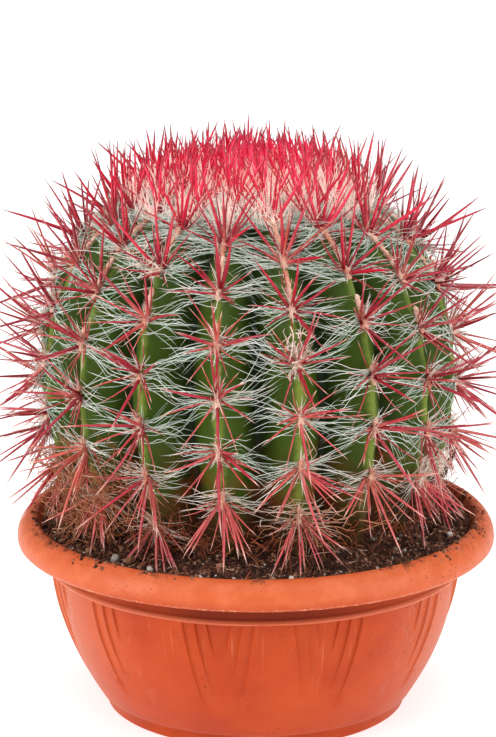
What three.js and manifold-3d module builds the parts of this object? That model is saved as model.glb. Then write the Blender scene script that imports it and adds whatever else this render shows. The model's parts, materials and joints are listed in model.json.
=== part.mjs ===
import * as THREE from 'three';
import { mergeVertices } from 'three/addons/utils/BufferGeometryUtils.js';
import Module from 'manifold-3d';

// A round, ribbed cactus growing in soil in a low plastic bowl pot.
// Millimetres, +Z up. The origin is the centre of the underside of the pot's foot.
// An azimuth is in degrees: 0 is the front (-Y), and it grows towards +X.

// Pot
const rimRadius = 125;
const lipRadius = 114.8;
const potHeight = 102.2;
const bodyTopRadius = 107.7;
const bodyFootRadius = 82.3;
const bodyCurve = 1.75;
const footRadius = 79;
const footWidth = 8;
const footHeight = 7;
const floorUnderside = 4;
const floorTop = 8;
const wallThickness = 3.4;
const beadHeight = 76.6;
const beadStandsOut = 1.4;
const outerColumns = 48;
const innerColumns = 40;

// Swags pressed into the pot's wall, each group three nested arches hanging from the bead
const swagGroups = 12;
const firstSwagAzimuth = -40.3;
const swagStep = 0.6;
const swagEdgeHalfAngle = 0.16;
const swagArches = [
  { halfAngle: 9.76, drop: 77, fadesAt: 50 },
  { halfAngle: 6.58, drop: 47, fadesAt: 36 },
  { halfAngle: 3.4, drop: 23.3, fadesAt: 16 },
];
const swagRows = [75.1, 68, 60.5, 51, 40, 27];

// Drain holes in the pot's floor
const drainHoles = 5;
const drainRadius = 4;
const drainCircle = 46;

// Soil, heaped up towards the stem
const soilEdgeShare = 0.97;
const moundTop = 112.5;
const moundSlope = 0.47;
const moundRings = [84, 92, 100];
const stemClearance = 0.6;
const spineClearance = 3;
const seatGap = 0.35;
const soilLump = 1.5;
const soilClearOfRibs = 4;
const grains = 24;
const grainSmallest = 1.5;
const grainLargest = 3;
const grainCircle = 99;
const grainBand = 6.5;

// Stem
const stemX = -4;
const ribs = 17;
const frontRibAzimuth = -8;
const ribTwist = 3;
const stemRadius = 107.6;
const stemWidestHeight = 174.6;
const stemTop = 276.5;
const stemBase = 105.8;
const stemBaseRadius = 91.9;
const domePower = 2.38;
const taperPower = 1.5;
const grooveDepth = 21;
const stemRows = 12;
const neckRadius = 76;
const neckBottom = 52;
const neckTaper = 12;
const crownDip = 1.5;
const neckColumns = 34;
const grooveFadeBelow = 16;
const grooveFadeAbove = 28;

// Areoles and spines
const areoleSpacing = 26.2;
const frontRibPhase = 0.82;
const phaseStep = 6 / 17;
const topGapShare = 0.11;
const lowestAreole = 15;
const crownArc = 50;
const spineThickness = 2;
const spineLength = 38;
const spineRootDepth = 3;
const spineLean = 38;
const spineTurns = [4, 62, -62];
const downSpineTurn = 178;
const leanSpread = 7;
const turnSpread = 9;
const youngLift = 0.6;
const youngFold = 0.5;
const oldDroop = 0.75;
const oldFold = 0.32;
const spineReach = 142;
const tipsTop = 305;
const tipsLowest = 104.5;

const wasm = await Module();
wasm.setup();

const radians = THREE.MathUtils.degToRad;

function seededRandom(seed) {
  let state = seed;
  return () => {
    state = (state + 0x6d2b79f5) | 0;
    let mixed = Math.imul(state ^ (state >>> 15), 1 | state);
    mixed = (mixed + Math.imul(mixed ^ (mixed >>> 7), 61 | mixed)) ^ mixed;
    return ((mixed ^ (mixed >>> 14)) >>> 0) / 4294967296;
  };
}

function aroundZ(azimuth, radius, z, centreX = 0) {
  const angle = radians(azimuth);
  return new THREE.Vector3(centreX + radius * Math.sin(angle), -radius * Math.cos(angle), z);
}

// A ring is a list of points with their azimuths, in growing order. A single point closes an end.
function pointRing(z, centreX = 0) {
  return { points: [new THREE.Vector3(centreX, 0, z)], azimuths: [0] };
}

function roundRing(radius, z, columns, start = 0, centreX = 0) {
  const azimuths = Array.from({ length: columns }, (_, k) => start + (360 * k) / columns);
  return { azimuths, points: azimuths.map((azimuth) => aroundZ(azimuth, radius, z, centreX)) };
}

// Joins neighbouring rings with triangles, whatever their numbers of points.
function skinRings(rings) {
  const positions = [];
  const index = [];
  const firsts = [];
  for (const ring of rings) {
    firsts.push(positions.length / 3);
    ring.points.forEach((point) => positions.push(point.x, point.y, point.z));
  }
  const azimuthAt = (ring, k) => {
    const count = ring.points.length;
    return ring.azimuths[k % count] + (k >= count ? 360 : 0);
  };
  for (let row = 0; row + 1 < rings.length; row += 1) {
    const [low, high] = [rings[row], rings[row + 1]];
    const [lowCount, highCount] = [low.points.length, high.points.length];
    const lowSteps = lowCount > 1 ? lowCount : 0;
    const highSteps = highCount > 1 ? highCount : 0;
    let i = 0;
    let j = 0;
    while (i < lowSteps || j < highSteps) {
      const lowNext = i < lowSteps ? azimuthAt(low, i + 1) : Infinity;
      const highNext = j < highSteps ? azimuthAt(high, j + 1) : Infinity;
      const a = firsts[row] + (i % lowCount);
      const b = firsts[row + 1] + (j % highCount);
      if (lowNext <= highNext) {
        i += 1;
        index.push(a, firsts[row] + (i % lowCount), b);
      } else {
        j += 1;
        index.push(a, firsts[row + 1] + (j % highCount), b);
      }
    }
  }
  const geometry = new THREE.BufferGeometry();
  geometry.setAttribute('position', new THREE.Float32BufferAttribute(positions, 3));
  geometry.setIndex(index);
  return geometry;
}

function solidFrom(geometry) {
  const bare = geometry.clone();
  bare.deleteAttribute('normal');
  bare.deleteAttribute('uv');
  const merged = mergeVertices(bare, 1e-4);
  const vertProperties = Float32Array.from(merged.attributes.position.array);
  const triVerts = Uint32Array.from(merged.index.array);
  return new wasm.Manifold(new wasm.Mesh({ numProp: 3, vertProperties, triVerts }));
}

function geometryFrom(solid) {
  const mesh = solid.getMesh();
  const geometry = new THREE.BufferGeometry();
  geometry.setAttribute('position', new THREE.BufferAttribute(mesh.vertProperties, 3));
  geometry.setIndex(new THREE.BufferAttribute(mesh.triVerts, 1));
  return geometry;
}

function sub(name, geometry, color, roughness) {
  const flat = geometry.toNonIndexed();
  flat.computeVertexNormals();
  const mesh = new THREE.Mesh(flat, new THREE.MeshStandardMaterial({ color, roughness, metalness: 0 }));
  mesh.name = name;
  return mesh;
}

// Pot

function potBodyRadius(z) {
  const down = Math.max(beadHeight - z, 0) / (beadHeight - footHeight);
  return bodyTopRadius - (bodyTopRadius - bodyFootRadius) * down ** bodyCurve;
}

// One row of the swag relief: each arch's edge is a pair of columns, one on each side of its step.
function swagRing(z) {
  const drop = beadHeight - z;
  const halfAngles = swagArches.map((arch) => arch.halfAngle * Math.sqrt(1 - Math.min(drop / arch.drop, 0.96)));
  const steps = swagArches.map((arch) => swagStep * Math.max(0, 1 - (drop / arch.fadesAt) ** 3));
  const half = [{ offset: 180 / swagGroups, depth: 0 }];
  let depth = 0;
  halfAngles.forEach((halfAngle, k) => {
    half.push({ offset: halfAngle + swagEdgeHalfAngle, depth });
    depth += steps[k];
    half.push({ offset: halfAngle - swagEdgeHalfAngle, depth });
  });
  const left = half.map((column) => ({ offset: -column.offset, depth: column.depth }));
  const right = half.slice(1).reverse();
  const group = [...left, { offset: 0, depth }, ...right];
  const ring = { points: [], azimuths: [] };
  for (let k = 0; k < swagGroups; k += 1) {
    const centre = firstSwagAzimuth + (360 * k) / swagGroups;
    for (const column of group) {
      ring.azimuths.push(centre + column.offset);
      ring.points.push(aroundZ(centre + column.offset, potBodyRadius(z) - column.depth, z));
    }
  }
  return ring;
}

const potStart = firstSwagAzimuth - 180 / swagGroups;

// The inner wall from the lip down to the floor, as [radius, height]. The soil follows it.
const innerWall = [
  [112.6, 97.5],
  [104.5, 87.2],
  [bodyTopRadius - wallThickness, 77],
  [potBodyRadius(58) - wallThickness, 58],
  [potBodyRadius(38) - wallThickness, 38],
  [potBodyRadius(20) - wallThickness, 20],
  [potBodyRadius(floorTop) - wallThickness - 0.6, floorTop],
];

function makePot() {
  const footInside = footRadius - footWidth;
  const outside = [
    [footInside, floorUnderside],
    [footInside, 0],
    [footRadius, 0],
    [footRadius, footHeight - 0.6],
    [bodyFootRadius, footHeight],
    [potBodyRadius(15), 15],
  ];
  const beadRadius = bodyTopRadius + beadStandsOut;
  const collar = [
    [beadRadius, beadHeight - 0.8],
    [beadRadius, beadHeight + 0.7],
    [bodyTopRadius, beadHeight + 1.8],
    [bodyTopRadius, 85.3],
    [115.7, 96.6],
    [119.6, 96.4],
    [121.8, 88.7],
  ];
  const rim = [
    [123, 87.9],
    [124.3, 88.6],
    [rimRadius, 91],
    [124.2, 95.6],
    [121.6, 99.9],
    [117.6, potHeight],
    [lipRadius, 101],
  ];
  const outer = ([radius, z]) => roundRing(radius, z, outerColumns, potStart);
  const inner = ([radius, z]) => roundRing(radius, z, innerColumns, potStart);
  let pot = solidFrom(
    skinRings([
      pointRing(floorUnderside),
      ...outside.map(outer),
      ...swagRows.toReversed().map(swagRing),
      ...collar.map(outer),
      ...rim.map(outer),
      ...innerWall.map(inner),
      pointRing(floorTop),
    ]),
  );
  for (let k = 0; k < drainHoles; k += 1) {
    const drill = new THREE.CylinderGeometry(drainRadius, drainRadius, 3 * floorTop, 16);
    drill.rotateX(Math.PI / 2);
    const centre = aroundZ((360 * k) / drainHoles, drainCircle, floorTop / 2);
    drill.translate(centre.x, centre.y, centre.z);
    pot = pot.subtract(solidFrom(drill));
  }
  return geometryFrom(pot);
}

// Soil

// The heap's bare height at a distance from the stem's axis.
function moundHeight(radius) {
  return moundTop - moundSlope * (radius - neckRadius);
}

// Where the soil meets the flared wall under the lip, as [radius, height].
const soilEdge = [0, 1].map((axis) =>
  THREE.MathUtils.lerp(innerWall[1][axis], innerWall[0][axis], soilEdgeShare),
);

// Low lumps that die out towards the stem, so that its ribs stay clear.
function lumpHeight(azimuth, radius) {
  const angle = radians(azimuth);
  const waves =
    Math.sin(5 * angle + 0.4 * radius) +
    Math.sin(9 * angle - 0.31 * radius + 1) +
    Math.sin(14 * angle + 0.7 * radius);
  const nearest = stemBaseRadius + soilClearOfRibs;
  const clear = THREE.MathUtils.smoothstep(radius, nearest, nearest + 2 * soilClearOfRibs);
  return clear * soilLump * (1.2 + waves / 3);
}

function moundRing(radius) {
  const ring = roundRing(radius, moundHeight(radius), outerColumns, potStart, stemX);
  ring.points.forEach((point, k) => {
    point.z += lumpHeight(ring.azimuths[k], radius);
  });
  return ring;
}

function soilEdgeRing() {
  const ring = roundRing(soilEdge[0] - seatGap, soilEdge[1], innerColumns, potStart);
  ring.points.forEach((point, k) => {
    point.z += lumpHeight(ring.azimuths[k], soilEdge[0]);
  });
  return ring;
}

function makeSoil() {
  const random = seededRandom(11);
  const wall = [soilEdge, ...innerWall.slice(1)].map(([radius, z]) => [radius - seatGap, z]);
  wall[wall.length - 1][1] += seatGap;
  const neckRing = (radius, z) => roundRing(radius, z, neckColumns, potStart, stemX);
  let soil = solidFrom(
    skinRings([
      pointRing(floorTop + seatGap),
      ...wall.toReversed().map(([radius, z]) => roundRing(radius, z, innerColumns, potStart)),
      soilEdgeRing(),
      ...moundRings.toReversed().map(moundRing),
      neckRing(neckRadius + seatGap, moundHeight(neckRadius + seatGap)),
      neckRing(neckRadius + seatGap, neckBottom - seatGap),
      pointRing(neckBottom - seatGap, stemX),
    ]),
  );
  for (let k = 0; k < grains; k += 1) {
    const azimuth = 360 * ((k + 0.6 * random()) / grains);
    const radius = grainCircle + grainBand * random();
    const size = THREE.MathUtils.lerp(grainSmallest, grainLargest, random() ** 2);
    const grain = new THREE.OctahedronGeometry(size);
    grain.rotateX(2 * random());
    grain.rotateZ(2 * random());
    const place = aroundZ(azimuth, radius, moundHeight(radius) + lumpHeight(azimuth, radius), stemX);
    grain.translate(place.x, place.y, place.z);
    soil = soil.add(solidFrom(grain));
  }
  return geometryFrom(soil);
}

// Stem

// The crest of a rib seen from the side, as (radius, height) from the base up to the top.
function crestCurve() {
  const points = [];
  const lower = 12;
  for (let k = 0; k < lower; k += 1) {
    const down = 1 - k / lower;
    const z = stemWidestHeight - down * (stemWidestHeight - stemBase);
    points.push(new THREE.Vector2(stemRadius - (stemRadius - stemBaseRadius) * down ** taperPower, z));
  }
  const upper = 32;
  for (let k = 0; k <= upper; k += 1) {
    const turn = (Math.PI / 2) * (k / upper);
    const radius = stemRadius * Math.cos(turn) ** (2 / domePower);
    const rise = (stemTop - stemWidestHeight) * Math.sin(turn) ** (2 / domePower);
    points.push(new THREE.Vector2(radius, stemWidestHeight + rise));
  }
  const curve = new THREE.SplineCurve(points);
  curve.arcLengthDivisions = 800;
  return curve;
}

const crest = crestCurve();
const crestLength = crest.getLength();

// The place on a crest at a length up from the base, and the way it faces.
function crestAt(length) {
  const share = THREE.MathUtils.clamp(length / crestLength, 0, 1);
  const place = crest.getPointAt(share);
  const along = crest.getTangentAt(share);
  return { radius: place.x, z: place.y, along, facing: new THREE.Vector2(along.y, -along.x) };
}

function twistAt(z) {
  return ribTwist * (0.5 - (z - stemBase) / (stemTop - stemBase));
}

function grooveDepthAt(radius, z) {
  const towardsBase = THREE.MathUtils.smoothstep(z, stemBase - grooveFadeBelow, stemBase + grooveFadeAbove);
  const towardsTop = THREE.MathUtils.smoothstep(radius, 4, 70);
  return grooveDepth * (0.42 + 0.58 * towardsBase) * towardsTop;
}

// Shares of the way from crest to groove at each column of a rib, and how deep the wall lies there.
const ribProfile = [
  [-1, 1],
  [-0.66, 0.62],
  [-0.3, 0.2],
  [0, 0],
  [0.3, 0.2],
  [0.66, 0.62],
];

function stemRing(length) {
  const { radius, z, facing } = crestAt(length);
  const depth = grooveDepthAt(radius, z);
  const ring = { points: [], azimuths: [] };
  const halfRib = 180 / ribs;
  for (let k = 0; k < ribs; k += 1) {
    for (const [share, sink] of ribProfile) {
      const azimuth = frontRibAzimuth + (2 * k + share) * halfRib;
      const inward = depth * sink;
      const wallRadius = radius - inward * facing.x;
      const wallHeight = Math.max(z - inward * facing.y, moundHeight(wallRadius) + stemClearance);
      ring.azimuths.push(azimuth);
      ring.points.push(aroundZ(azimuth + twistAt(z), wallRadius, wallHeight, stemX));
    }
  }
  return ring;
}

function makeStem() {
  const start = frontRibAzimuth - 180 / ribs;
  const neckRing = (radius, z) => roundRing(radius, z, neckColumns, start, stemX);
  const rows = Array.from({ length: stemRows }, (_, row) => stemRing((crestLength * row) / stemRows));
  return solidFrom(
    skinRings([
      pointRing(neckBottom, stemX),
      neckRing(neckRadius - neckTaper, neckBottom),
      neckRing(neckRadius, neckBottom + neckTaper),
      neckRing(neckRadius, moundHeight(neckRadius) + stemClearance),
      ...rows,
      pointRing(stemTop - crownDip, stemX),
    ]),
  );
}

// Spines

// The frame of an areole: its place on the crest, the way out, and the way up along the rib.
// Areoles are young at the crown and old at the base.
function areoleAt(rib, length) {
  const { radius, z, along, facing } = crestAt(length);
  const azimuth = frontRibAzimuth + (360 * rib) / ribs + twistAt(z);
  const age = (crestLength - length - 20) / (crestLength - 30);
  return {
    young: 1 - THREE.MathUtils.smoothstep(age, 0.05, 0.5),
    old: THREE.MathUtils.smoothstep(age, 0.62, 1),
    place: aroundZ(azimuth, radius, z, stemX),
    out: aroundZ(azimuth, facing.x, facing.y),
    up: aroundZ(azimuth, along.x, along.y),
    side: aroundZ(azimuth + 90, 1, 0),
  };
}

// A turn is measured from the way up. Young spines close upwards and old ones close downwards.
function spineDirection(areole, lean, turn) {
  const { young, old } = areole;
  const folded = Math.abs(turn) * (1 - youngFold * young);
  const round = radians(Math.sign(turn) * (folded + (180 - folded) * oldFold * old));
  const tilt = radians(lean);
  const flat = areole.up.clone().multiplyScalar(Math.cos(round)).addScaledVector(areole.side, Math.sin(round));
  const direction = areole.out.clone().multiplyScalar(Math.cos(tilt)).addScaledVector(flat, Math.sin(tilt));
  direction.z += youngLift * young - oldDroop * old;
  return direction.normalize();
}

// The tip stays inside the plant's reach and clear of the soil and the rim.
function spineTip(root, direction, length) {
  const tip = root.clone().addScaledVector(direction, length);
  for (let k = 0; k < 60 && (Math.hypot(tip.x, tip.y) > spineReach || tip.z > tipsTop); k += 1) {
    tip.lerp(root, 0.02);
  }
  const aboveSoil = moundHeight(Math.hypot(tip.x - stemX, tip.y)) + spineClearance;
  tip.z = Math.max(tip.z, tipsLowest, aboveSoil);
  return tip;
}

// A three-sided needle from a sunk root to a point.
function spineSolid(root, tip) {
  const length = root.distanceTo(tip);
  const needle = new THREE.ConeGeometry(spineThickness / 2, length, 3, 1);
  needle.translate(0, length / 2, 0);
  const turn = new THREE.Quaternion().setFromUnitVectors(
    new THREE.Vector3(0, 1, 0),
    tip.clone().sub(root).normalize(),
  );
  needle.applyQuaternion(turn);
  needle.translate(root.x, root.y, root.z);
  return solidFrom(needle);
}

function areoleLengths(rib) {
  const phase = (((frontRibPhase + rib * phaseStep) % 1) + 1) % 1;
  const lengths = [];
  for (let down = areoleSpacing * (phase + topGapShare); down < crestLength - lowestAreole; down += areoleSpacing) {
    lengths.push(crestLength - down);
    if (down < crownArc) {
      lengths.push(crestLength - down - areoleSpacing / 2);
    }
  }
  return lengths;
}

function makeCactus() {
  const random = seededRandom(5);
  const spread = (size) => size * (2 * random() - 1);
  let cactus = makeStem();
  for (let rib = 0; rib < ribs; rib += 1) {
    areoleLengths(rib).forEach((length, k) => {
      const areole = areoleAt(rib, length);
      const root = areole.place.clone().addScaledVector(areole.out, -spineRootDepth);
      const inCrown = crestLength - length < crownArc;
      const turns = inCrown || k % 2 ? spineTurns : [...spineTurns, downSpineTurn];
      for (const turn of turns) {
        const direction = spineDirection(areole, spineLean + spread(leanSpread), turn + spread(turnSpread));
        const size = spineRootDepth + spineLength * (0.9 + 0.16 * random());
        cactus = cactus.add(spineSolid(root, spineTip(root, direction, size)));
      }
    });
  }
  return geometryFrom(cactus);
}

const pottedCactus = new THREE.Group();
pottedCactus.name = 'potted_round_cactus';
pottedCactus.add(
  sub('pot', makePot(), 0xd8653a, 0.5),
  sub('soil', makeSoil(), 0x3b2a22, 0.95),
  sub('cactus', makeCactus(), 0x4c7a3a, 0.6),
);

export default pottedCactus;
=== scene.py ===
import json
import math
from types import SimpleNamespace
import bmesh
import bpy
import numpy as np
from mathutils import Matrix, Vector, noise

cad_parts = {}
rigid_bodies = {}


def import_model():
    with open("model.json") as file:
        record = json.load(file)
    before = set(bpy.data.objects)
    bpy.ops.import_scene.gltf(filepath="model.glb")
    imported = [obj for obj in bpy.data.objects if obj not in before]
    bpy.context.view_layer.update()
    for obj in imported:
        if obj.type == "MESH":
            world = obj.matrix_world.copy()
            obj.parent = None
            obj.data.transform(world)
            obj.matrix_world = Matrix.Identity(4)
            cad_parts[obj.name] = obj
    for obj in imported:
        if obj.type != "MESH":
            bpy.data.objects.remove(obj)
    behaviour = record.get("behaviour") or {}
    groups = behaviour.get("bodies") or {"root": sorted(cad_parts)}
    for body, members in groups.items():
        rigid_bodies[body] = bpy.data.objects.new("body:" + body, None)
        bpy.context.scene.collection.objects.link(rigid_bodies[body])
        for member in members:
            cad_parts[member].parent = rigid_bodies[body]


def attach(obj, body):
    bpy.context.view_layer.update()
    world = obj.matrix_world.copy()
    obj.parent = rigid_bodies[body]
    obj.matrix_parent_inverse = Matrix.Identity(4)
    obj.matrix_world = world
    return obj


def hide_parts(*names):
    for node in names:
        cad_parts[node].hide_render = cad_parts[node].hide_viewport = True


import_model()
for name in ("Cube", "Camera", "Light"):
    if name in bpy.data.objects:
        bpy.data.objects.remove(bpy.data.objects[name])
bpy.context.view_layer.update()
print("frame loaded")

# All sizes are metres. Azimuths are degrees, 0 at the front (-Y), growing towards +X.


class Wire:  # a socket that can stand in a sum
    def __init__(self, nodes, socket):
        self.nodes = nodes
        self.socket = socket

    def other(self, name):  # another output of the same node
        return Wire(self.nodes, self.socket.node.outputs[name])

    def __add__(self, value):
        return self.nodes.math("ADD", self, value)

    def __sub__(self, value):
        return self.nodes.math("SUBTRACT", self, value)

    def __rsub__(self, value):
        return self.nodes.math("SUBTRACT", value, self)

    def __mul__(self, value):
        return self.nodes.math("MULTIPLY", self, value)

    def __truediv__(self, value):
        return self.nodes.math("DIVIDE", self, value)

    def __rtruediv__(self, value):
        return self.nodes.math("DIVIDE", value, self)

    def __pow__(self, value):
        return self.nodes.math("POWER", self, value)

    __radd__ = __add__
    __rmul__ = __mul__

    def __abs__(self):
        return self.nodes.math("ABSOLUTE", self)

    def rise(self, low, high):  # 0 below low, 1 above high, eased between
        sizes = {"Value": self, "From Min": low, "From Max": high}
        return self.nodes.add("ShaderNodeMapRange", sizes, interpolation_type="SMOOTHSTEP")

    def fall(self, low, high):  # 1 below low, 0 above high, eased between
        return 1.0 - self.rise(low, high)


class Nodes:  # adds nodes to one shader or geometry tree
    def __init__(self, tree):
        self.tree = tree

    def fill(self, socket, value):  # links a wire or sets a constant
        if isinstance(value, Wire):
            self.tree.links.new(value.socket, socket)
        else:
            socket.default_value = value

    def add(self, kind, values=None, out=0, **settings):  # settings come first, as they change the sockets
        node = self.tree.nodes.new(kind)
        for name, value in settings.items():
            if name == "stops":
                self.setStops(node.color_ramp, value)
            else:
                setattr(node, name, value)
        for key, value in (values or {}).items():
            self.fill(node.inputs[key], value)
        return Wire(self, node.outputs[out])

    def setStops(self, ramp, stops):
        while len(ramp.elements) < len(stops):
            ramp.elements.new(1.0)
        for element, (place, colour) in zip(ramp.elements, stops):
            element.position = place
            element.color = colour

    def math(self, operation, *values):
        return self.add("ShaderNodeMath", dict(enumerate(values)), operation=operation)

    def vector(self, operation, *values, out=0):
        return self.add("ShaderNodeVectorMath", dict(enumerate(values)), out, operation=operation)

    def scale(self, vector, factor):
        return self.add("ShaderNodeVectorMath", {0: vector, "Scale": factor}, operation="SCALE")

    def join(self, x, y, z):
        return self.add("ShaderNodeCombineXYZ", {0: x, 1: y, 2: z})

    def parts(self, vector):  # its x, y and z
        x = self.add("ShaderNodeSeparateXYZ", {0: vector})
        return x, x.other("Y"), x.other("Z")

    def blend(self, share, first, second):  # two colours
        return self.add("ShaderNodeMix", {0: share, 6: first, 7: second}, 2, data_type="RGBA")

    def ramp(self, value, *stops):
        return self.add("ShaderNodeValToRGB", {0: value}, stops=stops)

    def place(self):  # the point in the piece's own frame
        return self.add("ShaderNodeTexCoord", out=3)

    def grain(self, scale, detail=3.0, roughness=0.55, at=None):  # noise from 0 to 1
        sizes = {"Vector": at or self.place(), "Scale": scale, "Detail": detail, "Roughness": roughness}
        return self.add("ShaderNodeTexNoise", sizes)

    def trait(self, name):  # a number stored on the mesh
        return self.add("ShaderNodeAttribute", out=2, attribute_name=name)

    def paint(self, **values):  # fills the surface's sockets, with _ for each blank in a name
        for name, value in values.items():
            self.fill(self.tree.nodes["Principled BSDF"].inputs[name.replace("_", " ")], value)

    def emboss(self, height, distance, strength=1.0):  # bump from a height between 0 and 1
        sizes = {"Strength": strength, "Distance": distance, "Height": height}
        self.paint(Normal=self.add("ShaderNodeBump", sizes))


def rgb(*channels):  # an opaque colour as seen on screen, made linear
    shares = [channel / 255 for channel in channels]
    return (*(((share + 0.055) / 1.055) ** 2.4 if share > 0.04 else share / 12.92 for share in shares), 1.0)


def makeMaterial(name):
    material = bpy.data.materials.new(name)
    material.use_nodes = True
    return material, Nodes(material.node_tree)


def clamp(value, low=0, high=1):
    return min(max(value, low), high)


def ease(value, low, high):  # 0 below low, 1 above high, eased between
    share = clamp((value - low) / (high - low))
    return share * share * (3 - 2 * share)


def aroundZ(azimuth, radius, z, centreX=0.0):
    angle = np.radians(azimuth)
    parts = [centreX + radius * np.sin(angle), -radius * np.cos(angle), z + 0.0 * angle]
    return np.stack(np.broadcast_arrays(*parts), -1)


def addObject(name, data):
    thing = bpy.data.objects.new(name, data)
    bpy.context.scene.collection.objects.link(thing)
    return thing


def meshOf(name, points, faces, material):
    mesh = bpy.data.meshes.new(name)
    mesh.from_pydata([tuple(p) for p in points], [], faces)
    mesh.materials.append(material)
    mesh.shade_smooth()
    return addObject(name, mesh)


def smoothLine(points, step):  # an even, rounded line through a few points
    points = np.array(points, float)
    padded = np.vstack([2 * points[0] - points[1], points, 2 * points[-1] - points[-2]])
    line = [points[0]]
    for a, b, c, d in zip(padded, padded[1:], padded[2:], padded[3:]):
        square = 2 * a - 5 * b + 4 * c - d
        cube = 3 * b - a - 3 * c + d
        count = max(1, int(round(np.linalg.norm(c - b) / step)))
        for t in np.arange(1, count + 1) / count:
            line.append(0.5 * (2 * b + (c - a) * t + square * t**2 + cube * t**3))
    return np.array(line)


def rideAs(piece, slotName, *replaced):
    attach(piece, "root")
    if replaced:
        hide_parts(*replaced)
    return piece


# Geometry trees

def newTree(name, sizes):
    tree = bpy.data.node_groups.new(name, "GeometryNodeTree")
    tree.interface.new_socket("Geometry", in_out="INPUT", socket_type="NodeSocketGeometry")
    for label, value in sizes.items():
        kind = "NodeSocketInt" if isinstance(value, int) else "NodeSocketFloat"
        tree.interface.new_socket(label, in_out="INPUT", socket_type=kind).default_value = value
    tree.interface.new_socket("Geometry", in_out="OUTPUT", socket_type="NodeSocketGeometry")
    nodes = Nodes(tree)
    start = nodes.add("NodeGroupInput")
    return nodes, start, {label: start.other(label) for label in sizes}


def endTree(nodes, geometry, material):
    smooth = nodes.add("GeometryNodeSetShadeSmooth", {0: geometry})
    real = nodes.add("GeometryNodeRealizeInstances", {0: smooth})
    painted = nodes.add("GeometryNodeSetMaterial", {"Geometry": real, "Material": material})
    last = nodes.tree.nodes.new("NodeGroupOutput")
    nodes.fill(last.inputs[0], painted)
    return nodes.tree


def grow(thing, tree, sizes):  # runs a tree on an object and keeps the result as its plain mesh
    modifier = thing.modifiers.new(tree.name, "NODES")
    modifier.node_group = tree
    for item in tree.interface.items_tree:
        if item.in_out == "INPUT" and item.name in sizes:
            modifier[item.identifier] = sizes[item.name]
    graph = bpy.context.evaluated_depsgraph_get()
    evaluated = thing.evaluated_get(graph)
    grown = bpy.data.meshes.new_from_object(evaluated, preserve_all_data_layers=True, depsgraph=graph)
    thing.modifiers.clear()
    thing.data = grown
    grown.name = thing.name
    return thing


def store(nodes, geometry, name, value):
    values = {"Geometry": geometry, "Name": name, "Value": value}
    return nodes.add("GeometryNodeStoreNamedAttribute", values, data_type="FLOAT", domain="POINT")


def readTrait(nodes, name, kind="FLOAT"):
    return nodes.add("GeometryNodeInputNamedAttribute", {"Name": name}, data_type=kind)


def readVector(nodes, name):
    return readTrait(nodes, name, "FLOAT_VECTOR")


def moveBy(nodes, geometry, offset):
    return nodes.add("GeometryNodeSetPosition", {"Geometry": geometry, "Offset": offset})


def moveTo(nodes, geometry, place):
    return nodes.add("GeometryNodeSetPosition", {"Geometry": geometry, "Position": place})


def placeCopies(nodes, points, shape):  # one copy per point, with its Z along the point's aim
    turn = nodes.add("FunctionNodeAlignRotationToVector", {"Vector": readVector(nodes, "aim")}, axis="Z")
    values = {"Points": points, "Instance": shape, "Rotation": turn, "Scale": readVector(nodes, "size")}
    placed = nodes.add("GeometryNodeInstanceOnPoints", values)
    return nodes.add("GeometryNodeRealizeInstances", {0: placed})


def pointsOf(name, places, traits):  # loose points that carry what each copy needs
    mesh = bpy.data.meshes.new(name)
    mesh.vertices.add(len(places))
    mesh.vertices.foreach_set("co", np.ascontiguousarray(places, np.float32).ravel())
    for label, values in traits.items():
        values = np.ascontiguousarray(values, np.float32)
        kind, field = ("FLOAT_VECTOR", "vector") if values.ndim == 2 else ("FLOAT", "value")
        mesh.attributes.new(label, kind, "POINT").data.foreach_set(field, values.ravel())
    return addObject(name, mesh)


def strandTree(name, material):  # tapered strands on points: spines, bristles, wool and fibres
    nodes, start, size = newTree(name, {"Sides": 5, "Segments": 6, "Taper": 0.6, "Waves": 1.0})
    ends = {"Radius Top": 0.0, "Radius Bottom": 1.0, "Depth": 1.0}
    counts = {"Vertices": size["Sides"], "Side Segments": size["Segments"]}
    cone = nodes.add("GeometryNodeMeshCone", {**ends, **counts}, fill_type="NGON")
    spot = nodes.add("GeometryNodeInputPosition")
    _, _, height = nodes.parts(spot)
    cone = store(nodes, cone, "along", height)
    fuller = nodes.math("MAXIMUM", 1.0 - height, 0.001) ** (size["Taper"] - 1.0)
    cone = moveTo(nodes, cone, nodes.vector("MULTIPLY", spot, nodes.join(fuller, fuller, 1.0)))
    along = readTrait(nodes, "along")
    swing = nodes.math("SINE", (along * size["Waves"] + readTrait(nodes, "phase")) * (2 * math.pi)) * along
    bow = nodes.scale(readVector(nodes, "bend"), along * along)
    curl = nodes.scale(readVector(nodes, "wave"), swing)
    shift = nodes.vector("ADD", bow, curl)
    return endTree(nodes, moveBy(nodes, placeCopies(nodes, start, cone), shift), material)


def lumpTree(name, material):  # rough lumps on points: crumbs, grit, felt
    nodes, start, size = newTree(name, {"Subdivisions": 2, "Roughness": 0.3, "Pitch": 600.0})
    ball = nodes.add("GeometryNodeMeshIcoSphere", {"Radius": 1.0, "Subdivisions": size["Subdivisions"]})
    spot = nodes.add("GeometryNodeInputPosition")
    rough = nodes.add("ShaderNodeTexNoise", {"Vector": spot, "Scale": size["Pitch"], "Detail": 1.0}, 1)
    centred = nodes.vector("SUBTRACT", rough, (0.5, 0.5, 0.5))
    span = nodes.vector("LENGTH", readVector(nodes, "size"), out="Value")
    shift = nodes.scale(centred, span * size["Roughness"])
    return endTree(nodes, moveBy(nodes, placeCopies(nodes, start, ball), shift), material)


def lumps(name, slotName, material, places, traits, sizes, flat=False):
    piece = grow(pointsOf(name, places, traits), lumpTree(name, material), sizes)
    if flat:
        piece.data.shade_flat()
    return rideAs(piece, slotName)


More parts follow.
